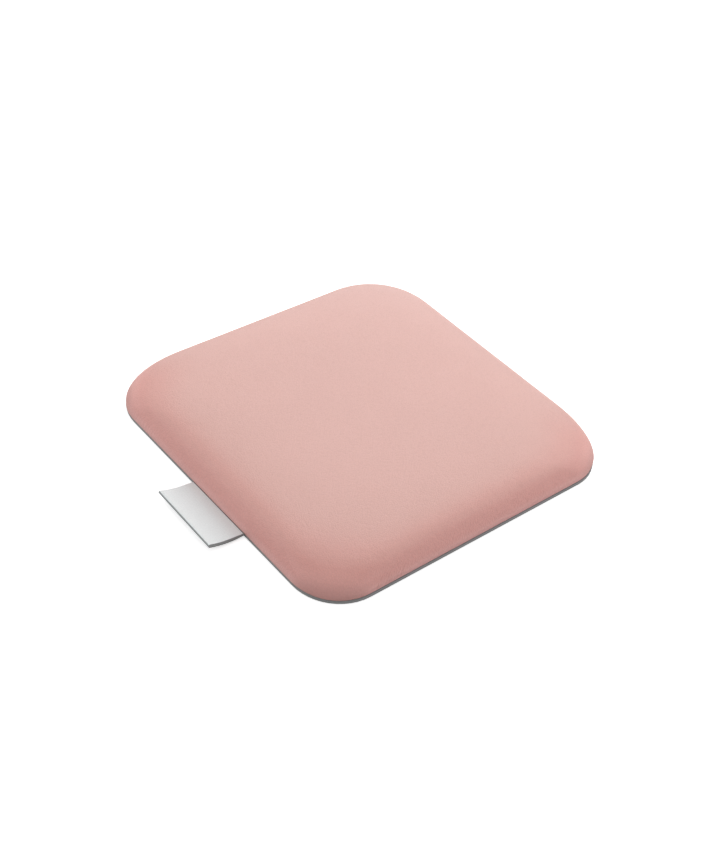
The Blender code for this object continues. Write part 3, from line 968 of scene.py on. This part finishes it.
def pebble_group():
    """Leather grain: warped cells with grooves between them, over crazing and broad wrinkles."""
    inputs = (
        ("Vector", "NodeSocketVector", None),
        ("Cells per Metre", "NodeSocketFloat", 1000.0),
        ("Groove", "NodeSocketFloat", 0.16),
    )
    outputs = (("Height", "NodeSocketFloat"), ("Groove Mask", "NodeSocketFloat"))
    group, start, end = make_group("leather_pebble", inputs, outputs)
    push = noise(group, start["Vector"], PUSH_SCALE, 1.0)["Color"]
    centred = vector_maths(group, "SUBTRACT", push, (0.5, 0.5, 0.5))
    reach = (PEBBLE_PUSH, PEBBLE_PUSH, PEBBLE_PUSH)
    pushed = vector_maths(group, "MULTIPLY_ADD", centred, reach, start["Vector"])
    cells = add_node(
        group,
        "ShaderNodeTexVoronoi",
        {"Vector": pushed, "Scale": start["Cells per Metre"], "Randomness": 0.9},
        feature="DISTANCE_TO_EDGE",
    )
    pebble = ramp_between(group, cells.outputs["Distance"], 0.0, start["Groove"])
    crazing = noise(group, start["Vector"], CRAZING_SCALE)["Fac"]
    wrinkle = noise(group, start["Vector"], WRINKLE_SCALE, 2.0, 0.6)["Fac"]
    layers = ((pebble, PEBBLE_SHARE), (crazing, CRAZING_SHARE), (wrinkle, WRINKLE_SHARE))
    feed(group, end["Height"], add_layers(group, layers))
    feed(group, end["Groove Mask"], maths(group, "SUBTRACT", 1.0, pebble))
    return group


def add_layers(tree, layers):
    """The sum of values, each times its share."""
    total = 0.0
    for value, share in layers:
        total = maths(tree, "ADD", total, maths(tree, "MULTIPLY", value, share))
    return total


def speckle_group():
    """Fine matt speckle for the sheet and the board: two sizes of noise."""
    inputs = (("Vector", "NodeSocketVector", None), ("Specks per Metre", "NodeSocketFloat", 1500.0))
    outputs = (("Height", "NodeSocketFloat"), ("Shade", "NodeSocketFloat"))
    group, start, end = make_group("fine_speckle", inputs, outputs)
    fine = noise(group, start["Vector"], start["Specks per Metre"], 3.0, 0.6)["Fac"]
    broad = noise(group, start["Vector"], BROAD_SPECKS, 3.0)["Fac"]
    feed(group, end["Height"], fine)
    feed(group, end["Shade"], add_layers(group, ((fine, 0.5), (broad, 0.5))))
    return group


PEBBLE = pebble_group()
SPECKLE = speckle_group()


def group_node(tree, group, inputs):
    """Places a node group with its own values."""
    return add_node(tree, "ShaderNodeGroup", inputs, node_tree=group).outputs


def mottled(tree, tone, colour):
    """A colour that varies up to a slightly lighter one."""
    return blend_colours(tree, tone, colour, [channel * MOTTLE for channel in colour])


def tones_by_height(tree, tone, level, tones):
    """Colours that follow each other up the wall, each blended into the next by height."""
    low, first = tones[0]
    shade = mottled(tree, tone, first)
    for high, colour in tones[1:]:
        rise = ramp_between(tree, level, low, high)
        shade = blend_colours(tree, rise, shade, mottled(tree, tone, colour))
        low = high
    return shade


def leather_material():
    """Pink artificial leather: satin, finely pebbled, the pebbles drawn long up the walls."""
    material, tree, shader = new_material("pink_artificial_leather")
    place = object_place(tree)
    stretch = (1.0, 1.0, PEBBLE_STRETCH)
    drawn = add_node(tree, "ShaderNodeMapping", {"Vector": place, "Scale": stretch}).outputs[0]
    inputs = {"Vector": drawn, "Cells per Metre": PEBBLE_SCALE, "Groove": PEBBLE_GROOVE}
    grain = group_node(tree, PEBBLE, inputs)
    tone = spread_noise(tree, noise(tree, place, MOTTLE_SCALE, 3.0)["Fac"])
    split = add_node(tree, "ShaderNodeSeparateXYZ", {"Vector": place}).outputs
    # Painted light and shade in the pink: it changes by height on the walls and in the corners,
    # darker at the corners' foot, and paler with painted sheen on the far sides and the top
    pink = tones_by_height(tree, tone, split["Z"], WALL_PAINTED_SHADING_TONES)
    corner = tones_by_height(tree, tone, split["Z"], CORNER_PAINTED_SHADING_TONES)
    reach = maths(tree, "ABSOLUTE", maths(tree, "MULTIPLY", split["X"], split["Y"]))
    pink = blend_colours(tree, ramp_between(tree, reach, CORNER_START, CORNER_FULL), pink, corner)
    side = maths(tree, "SUBTRACT", split["X"], split["Y"])
    far = mottled(tree, tone, FAR_PAINTED_SHEEN_TONE)
    pink = blend_colours(tree, ramp_between(tree, side, FAR_SIDE, NEAR_SIDE), far, pink)
    top = mottled(tree, tone, TOP_PAINTED_SHEEN_TONE)
    rise = ramp_between(tree, split["Z"], SHOULDER_LEVEL, TOP_LEVEL)
    pink = blend_colours(tree, rise, pink, top)
    groove = maths(tree, "MULTIPLY", grain["Groove Mask"], GROOVE_STRENGTH)
    feed(tree, shader.inputs["Base Color"], blend_colours(tree, groove, pink, GROOVE_TONE))
    dull = ramp_between(tree, grain["Groove Mask"], 0.0, 1.0, *LEATHER_ROUGHNESS)
    feed(tree, shader.inputs["Roughness"], dull)
    feed(tree, shader.inputs["Normal"], bump(tree, grain["Height"], *LEATHER_BUMP))
    shader.inputs["Specular IOR Level"].default_value = 1.0
    return material


def speckled_material(name, specks, colours, roughness):
    """A matt material with a fine speckle in its colour and on its surface."""
    material, tree, shader = new_material(name)
    inputs = {"Vector": object_place(tree), "Specks per Metre": specks}
    speckle = group_node(tree, SPECKLE, inputs)
    shade = spread_noise(tree, speckle["Shade"])
    feed(tree, shader.inputs["Base Color"], blend_colours(tree, shade, *colours))
    feed(tree, shader.inputs["Normal"], bump(tree, speckle["Height"], *SPECKLE_BUMP))
    shader.inputs["Roughness"].default_value = roughness
    return material, shader


def grey_sheet_material():
    """Dense grey sheet: dull, with little shine at a low angle."""
    material, shader = speckled_material("grey_base_sheet", SHEET_SPECKS, SHEET_GREYS, 0.8)
    shader.inputs["Specular IOR Level"].default_value = 0.3
    return material


def board_material():
    """Brown hardboard, unpainted."""
    material, _ = speckled_material("brown_hardboard", BOARD_SPECKS, BOARD_BROWNS, 0.7)
    return material


def foam_material():
    """Open-cell foam: small round pores between thin struts."""
    material, tree, shader = new_material("cream_foam")
    inputs = {"Vector": object_place(tree), "Scale": FOAM_PORES}
    cells = add_node(tree, "ShaderNodeTexVoronoi", inputs, feature="F1")
    pore = ramp_between(tree, cells.outputs["Distance"], *FOAM_PORE_RANGE)
    feed(tree, shader.inputs["Base Color"], blend_colours(tree, pore, *FOAM_CREAMS))
    feed(tree, shader.inputs["Normal"], bump(tree, pore, *FOAM_BUMP))
    shader.inputs["Roughness"].default_value = 0.95
    return material


def ribbon_material():
    """Woven satin ribbon: white on its face, and grey as painted shade at the fold, the edges and
    behind, darkest as painted shade in the seam.
    """
    material, tree, shader = new_material("woven_satin_ribbon")
    uv = add_node(tree, "ShaderNodeUVMap", uv_map="ribbon").outputs["UV"]
    split = add_node(tree, "ShaderNodeSeparateXYZ", {"Vector": uv}).outputs
    warp = maths(tree, "SINE", maths(tree, "MULTIPLY", split["X"], 2 * math.pi / WARP_PITCH))
    weft = maths(tree, "SINE", maths(tree, "MULTIPLY", split["Y"], 2 * math.pi / WEFT_PITCH))
    crossing = maths(tree, "MULTIPLY", warp, weft)
    height = add_layers(tree, ((warp, WARP_SHARE), (crossing, CROSSING_SHARE)))
    zone = add_node(tree, "ShaderNodeAttribute", attribute_name="white_face").outputs["Fac"]
    zone = ramp_between(tree, zone, *WHITE_RANGE)
    slub = spread_noise(tree, noise(tree, uv, SLUB_SCALE, 3.0)["Fac"])
    white = blend_colours(tree, slub, *RIBBON_WHITES)
    grey = blend_colours(tree, slub, *RIBBON_PAINTED_SHADE_GREYS)
    feed(tree, shader.inputs["Base Color"], blend_colours(tree, zone, grey, white))
    feed(tree, shader.inputs["Normal"], bump(tree, height, *RIBBON_BUMP))
    shader.inputs["Roughness"].default_value = 0.5
    return material


def staple_material():
    """Galvanised wire with a fine streak."""
    material, tree, shader = new_material("galvanised_staple_wire")
    streak = noise(tree, object_place(tree), WIRE_STREAKS, 3.0)["Fac"]
    feed(tree, shader.inputs["Base Color"], blend_colours(tree, streak, *WIRE_GREYS))
    dull = ramp_between(tree, streak, *WIRE_STREAK_RANGE, *WIRE_ROUGHNESS)
    feed(tree, shader.inputs["Roughness"], dull)
    shader.inputs["Metallic"].default_value = 1.0
    return material


def finish_solid(node, material):
    """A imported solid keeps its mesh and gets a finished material."""
    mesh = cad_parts[node].data
    mesh.materials.clear()
    mesh.materials.append(material)


def dress_solids():
    """The sheet, the board and every staple."""
    finish_solid("base_sheet", grey_sheet_material())
    finish_solid("board", board_material())
    wire = staple_material()
    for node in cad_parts:
        if node.startswith("staple_"):
            finish_solid(node, wire)


def make_camera():
    """The camera stands so that the pad's middle falls on its pixel, turned, tilted and rolled."""
    turn = math.radians(CAMERA_AZIMUTH)
    tilt = math.radians(CAMERA_ELEVATION)
    roll = math.radians(CAMERA_ROLL)
    around = np.array([
        [math.cos(turn), -math.sin(turn), 0],
        [math.sin(turn), math.cos(turn), 0],
        [0, 0, 1],
    ])
    lean = np.array([
        [1, 0, 0],
        [0, -math.sin(tilt), -math.cos(tilt)],
        [0, math.cos(tilt), -math.sin(tilt)],
    ])
    twist = np.array([
        [math.cos(roll), -math.sin(roll), 0],
        [math.sin(roll), math.cos(roll), 0],
        [0, 0, 1],
    ])
    view = twist @ lean @ around
    right, down, forward = view
    u, v = PAD_CENTRE_PIXEL
    offset = np.array([u - IMAGE_WIDTH / 2, v - IMAGE_HEIGHT / 2, FOCAL_PIXELS])
    stand = -view.T @ (offset * CAMERA_DISTANCE / FOCAL_PIXELS)
    data = bpy.data.cameras.new("camera")
    data.lens = FOCAL_PIXELS / IMAGE_HEIGHT * SENSOR
    data.sensor_width = SENSOR
    data.clip_start = CLIP_START
    camera = bpy.data.objects.new("camera", data)
    bpy.context.scene.collection.objects.link(camera)
    axes = np.eye(4)
    axes[:3, 0], axes[:3, 1], axes[:3, 2], axes[:3, 3] = right, -down, -forward, stand
    camera.matrix_world = Matrix(axes.tolist())
    bpy.context.scene.camera = camera


def soft_box(name, azimuth, elevation, distance, size, radiance):
    """A square soft box at a bearing from the pad, aimed at its middle, evenly bright."""
    turn, rise = math.radians(azimuth), math.radians(elevation)
    place = (math.cos(rise) * math.cos(turn), math.cos(rise) * math.sin(turn), math.sin(rise))
    data = bpy.data.lights.new(name, "AREA")
    data.shape = "SQUARE"
    data.size = size
    data.energy = radiance * math.pi * size * size
    lamp = bpy.data.objects.new(name, data)
    lamp.location = tuple(distance * part for part in place)
    lamp.rotation_euler = (-lamp.location).to_track_quat("-Z", "Y").to_euler()
    lamp.visible_camera = False
    bpy.context.scene.collection.objects.link(lamp)


def make_world():
    """Plain even light, and white where the camera, a gloss or a glass looks past the scene."""
    world = bpy.data.worlds.new("studio")
    bpy.context.scene.world = world
    world.use_nodes = True
    tree = world.node_tree
    path = add_node(tree, "ShaderNodeLightPath").outputs
    seen = maths(tree, "MAXIMUM", path["Is Camera Ray"], path["Is Glossy Ray"])
    seen = maths(tree, "MAXIMUM", seen, path["Is Transmission Ray"])
    background = tree.nodes["Background"]
    background.inputs["Color"].default_value = (1, 1, 1, 1)
    inputs = {MIX_FACTOR: seen, MIX_FLOATS[0]: AMBIENT, MIX_FLOATS[1]: 1.0}
    strength = add_node(tree, "ShaderNodeMix", inputs, data_type="FLOAT")
    feed(tree, background.inputs["Strength"], strength.outputs[0])


def make_floor():
    """A white floor that glows a little to the camera alone, so that it shows as plain white."""
    corners = np.array([(-1, -1), (1, -1), (1, 1), (-1, 1)]) * FLOOR_HALF
    mesh = bpy.data.meshes.new("floor")
    mesh.from_pydata([(x, y, -FLOOR_DROP) for x, y in corners], [], [(0, 1, 2, 3)])
    floor = bpy.data.objects.new("floor", mesh)
    bpy.context.scene.collection.objects.link(floor)
    material, tree, shader = new_material("white_floor")
    shader.inputs["Base Color"].default_value = (FLOOR_COLOUR, FLOOR_COLOUR, FLOOR_COLOUR, 1)
    shader.inputs["Roughness"].default_value = 1.0
    shader.inputs["Specular IOR Level"].default_value = 0.0
    shader.inputs["Emission Color"].default_value = (1, 1, 1, 1)
    path = add_node(tree, "ShaderNodeLightPath").outputs
    glow = maths(tree, "MULTIPLY", path["Is Camera Ray"], FLOOR_GLOW)
    feed(tree, shader.inputs["Emission Strength"], glow)
    mesh.materials.append(material)


bpy.context.scene.view_settings.view_transform = "Standard"
swell = simulate_swell()
make_cover(swell)
make_foam(swell)
make_label()
dress_solids()
make_camera()
for box in SOFT_BOXES:
    soft_box(*box)
make_world()
make_floor()
